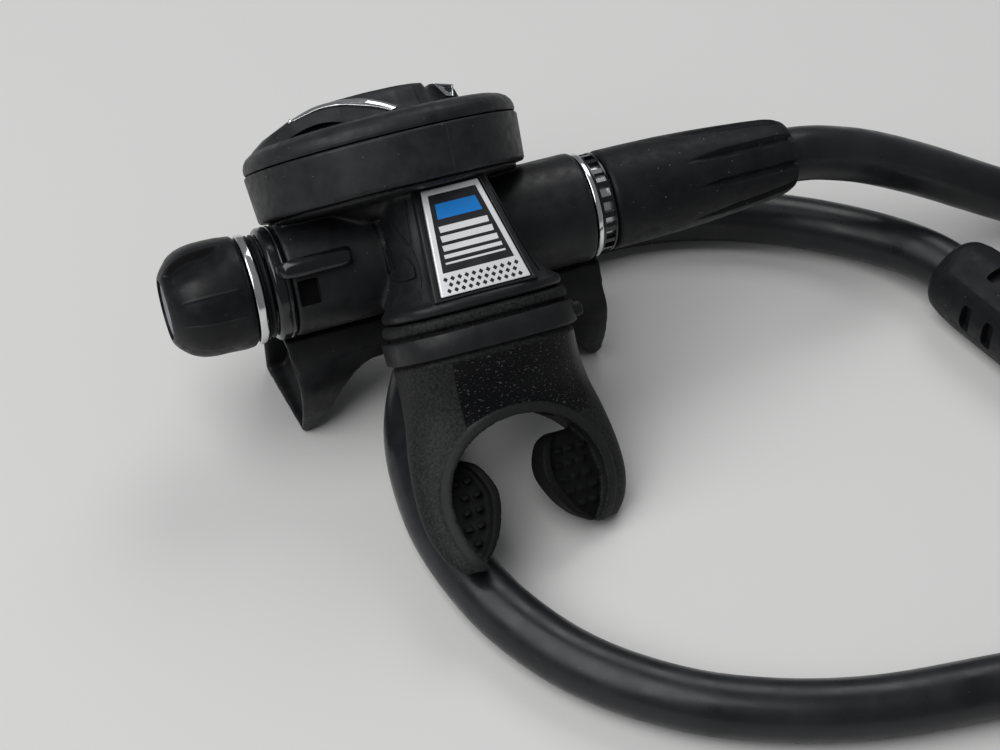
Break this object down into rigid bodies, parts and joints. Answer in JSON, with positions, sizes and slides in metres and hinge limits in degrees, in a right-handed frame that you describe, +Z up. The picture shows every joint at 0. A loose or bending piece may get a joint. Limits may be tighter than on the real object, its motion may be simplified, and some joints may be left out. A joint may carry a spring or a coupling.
{
  "type": "scuba second stage with low-pressure hose",
  "caption": "Diving second stage with purge cover, breathing adjustment knob, mouthpiece and exhaust tee, on a looped low-pressure hose with protector sleeves",
  "frame": {"origin": "middle of the second stage's footprint on the surface it rests on, hose loop left out", "axes": "+X along the valve barrel from the adjustment knob to the hose, +Y away from the mouthpiece, +Z up"},
  "size_m": [0.2529, 0.1766, 0.0789],
  "materials": {
    "shell_plastic": "moulded black plastic with a low satin sheen",
    "gloss_black": "polished black plastic",
    "cover_rubber": "soft satin black cover",
    "knob_rubber": "soft black grip",
    "hose_rubber": "smooth black hose rubber with fine dust",
    "mouth_rubber": "soft black silicone, scuffed at the tabs",
    "seal_rubber": "smooth black seal",
    "pale_silicone": "pale translucent silicone",
    "bright_chrome": "polished plate",
    "spring_steel": "plain stainless",
    "grey_metal": "satin grey",
    "valve_brass": "machined brass, partly plated",
    "plate_grey": "printed plate with a bright border"
  },
  "bodies": {
    "stage": {"case": "shell_plastic", "cover_ring": "shell_plastic", "front_cover": "cover_rubber", "purge_spring": "spring_steel", "cover_trim": "bright_chrome", "button_trim": "bright_chrome", "diaphragm": "pale_silicone", "valve_barrel": "valve_brass", "orifice": "valve_brass", "orifice_oring": "seal_rubber", "poppet_spring": "spring_steel", "balance_chamber": "grey_metal", "packing_nut": "shell_plastic", "knob_ring": "bright_chrome", "inlet_ring": "bright_chrome", "heat_ring": "gloss_black", "swivel_oring": "seal_rubber", "hose_stem": "valve_brass", "near_ferrule": "bright_chrome", "hose_protector": "hose_rubber", "label_plate": "plate_grey", "mouthpiece": "mouth_rubber", "mouthpiece_clamp": "shell_plastic", "exhaust_tee": "hose_rubber", "far_protector": "hose_rubber", "far_ferrule": "bright_chrome", "first_stage_fitting": "bright_chrome", "fitting_oring": "seal_rubber", "lp_hose": "hose_rubber"},
    "button": {"purge_button": "cover_rubber"},
    "diaphragm_plate": {"diaphragm_disc": "spring_steel"},
    "lever": {"demand_lever": "spring_steel"},
    "poppet_body": {"poppet": "grey_metal", "poppet_seat": "pale_silicone"},
    "knob": {"adjustment_knob": "knob_rubber", "knob_end_cap": "grey_metal"},
    "stem": {"adjuster_stem": "valve_brass", "adjuster_oring": "seal_rubber"},
    "dive_control": {"dive_lever": "gloss_black", "venturi_vane": "shell_plastic"},
    "swivel": {"swivel_nut": "bright_chrome"},
    "exhaust_flap": {"exhaust_valve": "pale_silicone"}
  },
  "joints": [
    {"name": "purge_press", "type": "slide", "parent": "stage", "child": "button", "axis": [0, -0.6884, -0.7254], "range_m": [0, 0.0035], "stiffness_N_per_m": 300, "deforming": ["purge_spring", "diaphragm"]},
    {"name": "diaphragm_follow", "type": "slide", "parent": "stage", "child": "diaphragm_plate", "axis": [0, -0.6884, -0.7254], "range_m": [0, 0.0035]},
    {"name": "lever_tilt", "type": "hinge", "parent": "stage", "child": "lever", "pos_m": [-0.0056, 0.02184, 0.04457], "axis": [0, -0.7254, 0.6884], "range_deg": [0, 13.3]},
    {"name": "poppet_open", "type": "slide", "parent": "stage", "child": "poppet_body", "axis": [-1, 0, 0], "range_m": [0, 0.00081]},
    {"name": "knob_turn", "type": "hinge", "parent": "stage", "child": "knob", "pos_m": [-0.0633, 0.01675, 0.0392], "axis": [1, 0, 0], "range_deg": [-540, 540]},
    {"name": "adjuster_slide", "type": "slide", "parent": "stage", "child": "stem", "axis": [1, 0, 0], "range_m": [-0.0015, 0.0015]},
    {"name": "dive_lever_turn", "type": "hinge", "parent": "stage", "child": "dive_control", "pos_m": [-0.0493, 0.01675, 0.0392], "axis": [1, 0, 0], "range_deg": [-25, 48]},
    {"name": "swivel_turn", "type": "hinge", "parent": "stage", "child": "swivel", "pos_m": [0.0337, 0.01675, 0.0392], "axis": [1, 0, 0], "continuous": true},
    {"name": "exhaust_lift", "type": "slide", "parent": "stage", "child": "exhaust_flap", "axis": [0, 0, -1], "range_m": [0, 0.0012], "stiffness_N_per_m": 20}
  ],
  "couplings": [
    {"joint": "diaphragm_follow", "follows": "purge_press", "ratio": 1},
    {"joint": "lever_tilt", "follows": "purge_press", "rad_per_m": 65.8},
    {"joint": "poppet_open", "follows": "purge_press", "ratio": 0.2286},
    {"joint": "knob_turn", "follows": "adjuster_slide", "rad_per_m": 6283.2}
  ]
}
